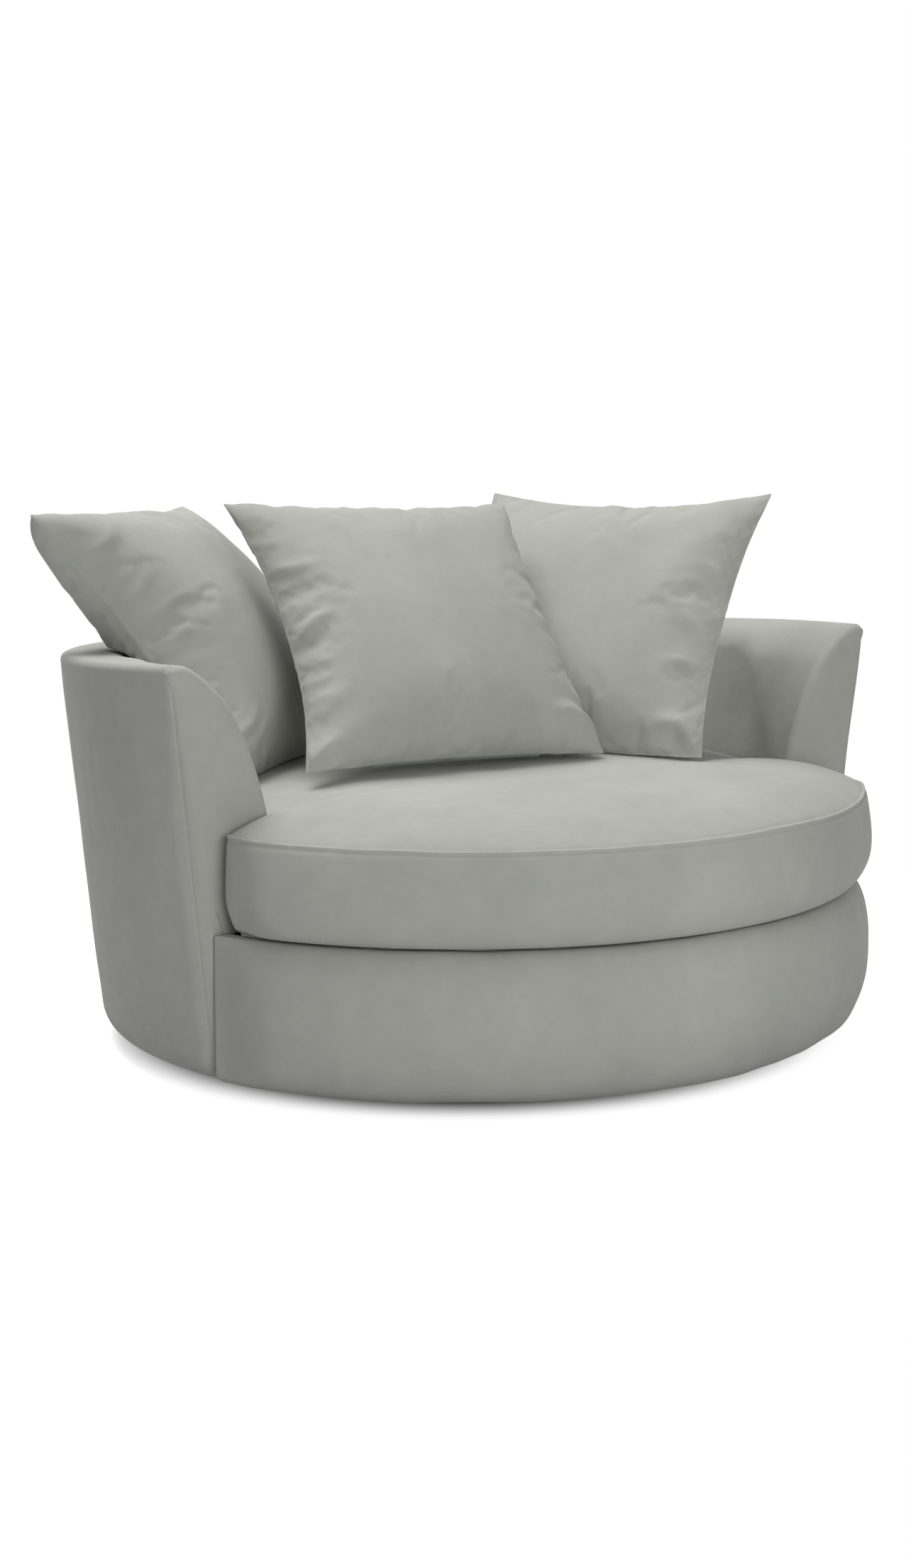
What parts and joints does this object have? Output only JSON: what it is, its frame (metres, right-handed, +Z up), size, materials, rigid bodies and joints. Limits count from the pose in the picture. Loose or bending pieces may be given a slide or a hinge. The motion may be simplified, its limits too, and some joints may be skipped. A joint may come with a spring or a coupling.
{
  "type": "swivel cuddle chair",
  "caption": "Wide round swivel armchair with a flared wraparound wall, a T-shaped round-front seat cushion and loose square pillows, covered in pale velvet.",
  "frame": {"origin": "swivel axis at floor level, on the bottom of the centre glide", "axes": "+Z up along the swivel axis, -Y out of the open front, +X towards the right arm as seen from the front"},
  "size_m": [1.335, 1.2778, 0.8621],
  "materials": {
    "velvet": "matt short-pile velvet, pale grey-green, faintly mottled nap",
    "foam": "cut upholstery foam, off-white, matt",
    "fibre": "bonded polyester fibre, white, matt",
    "black_cloth": "black non-woven cloth, matt",
    "board": "raw fibreboard and ply, matt",
    "timber": "planed softwood, unfinished",
    "steel": "zinc-plated steel",
    "spring_steel": "oil-tempered spring wire",
    "plastic": "moulded black plastic",
    "zip": "nylon coil zip in the cover's colour"
  },
  "bodies": {
    "floor_base": {"base_plinth": "board", "glide_centre": "plastic", "glide_1": "plastic", "glide_2": "plastic", "glide_3": "plastic", "glide_4": "plastic", "glide_5": "plastic", "glide_6": "plastic", "bearing_lower_plate": "steel", "pivot_bolt": "steel", "pivot_washer": "steel", "pivot_nut": "steel"},
    "bearing_cage": {"ball_cage": "steel"},
    "seat_body": {"bearing_upper_plate": "steel", "bottom_board": "board", "dust_cover": "black_cloth", "front_rail": "timber", "front_rail_padding": "foam", "front_rail_cover": "velvet", "seat_rail": "timber", "top_rail": "timber", "back_post_1": "timber", "back_post_2": "timber", "back_post_3": "timber", "back_post_4": "timber", "back_post_5": "timber", "arm_frame_left": "timber", "arm_frame_right": "timber", "arm_end_cover_left": "velvet", "arm_end_cover_right": "velvet", "outside_liner": "board", "outside_cover": "velvet", "inside_padding": "foam", "inside_cover": "velvet", "seat_spring_1": "spring_steel", "seat_spring_2": "spring_steel", "seat_spring_3": "spring_steel", "seat_spring_4": "spring_steel", "seat_spring_5": "spring_steel", "seat_spring_6": "spring_steel", "seat_spring_7": "spring_steel", "deck_cloth": "black_cloth", "deck_pad": "fibre"},
    "seat_cushion": {"seat_cushion_cover": "velvet", "seat_cushion_core": "foam", "seat_cushion_zip": "zip"},
    "pillow_left": {"pillow_cover_left": "velvet", "pillow_insert_left": "fibre", "pillow_zip_left": "zip"},
    "pillow_middle": {"pillow_cover_middle": "velvet", "pillow_insert_middle": "fibre", "pillow_zip_middle": "zip"},
    "pillow_right": {"pillow_cover_right": "velvet", "pillow_insert_right": "fibre", "pillow_zip_right": "zip"}
  },
  "joints": [
    {"name": "seat_swivel", "type": "hinge", "parent": "floor_base", "child": "seat_body", "pos_m": [0, 0, 0.035], "axis": [0, 0, 1], "continuous": true},
    {"name": "bearing_cage_roll", "type": "hinge", "parent": "floor_base", "child": "bearing_cage", "pos_m": [0, 0, 0.0285], "axis": [0, 0, 1], "continuous": true},
    {"name": "seat_cushion_lift", "type": "slide", "parent": "seat_body", "child": "seat_cushion", "axis": [0, 0, 1], "range_m": [0, 0.45]},
    {"name": "pillow_left_lift", "type": "slide", "parent": "seat_cushion", "child": "pillow_left", "axis": [-0.304, 0.418, 0.8561], "range_m": [0, 0.35]},
    {"name": "pillow_middle_lift", "type": "slide", "parent": "seat_cushion", "child": "pillow_middle", "axis": [0.047, 0.382, 0.923], "range_m": [0, 0.35]},
    {"name": "pillow_right_lift", "type": "slide", "parent": "seat_cushion", "child": "pillow_right", "axis": [0.4501, 0.2851, 0.8462], "range_m": [0, 0.35]}
  ],
  "couplings": [
    {"joint": "bearing_cage_roll", "follows": "seat_swivel", "ratio": 0.5}
  ]
}
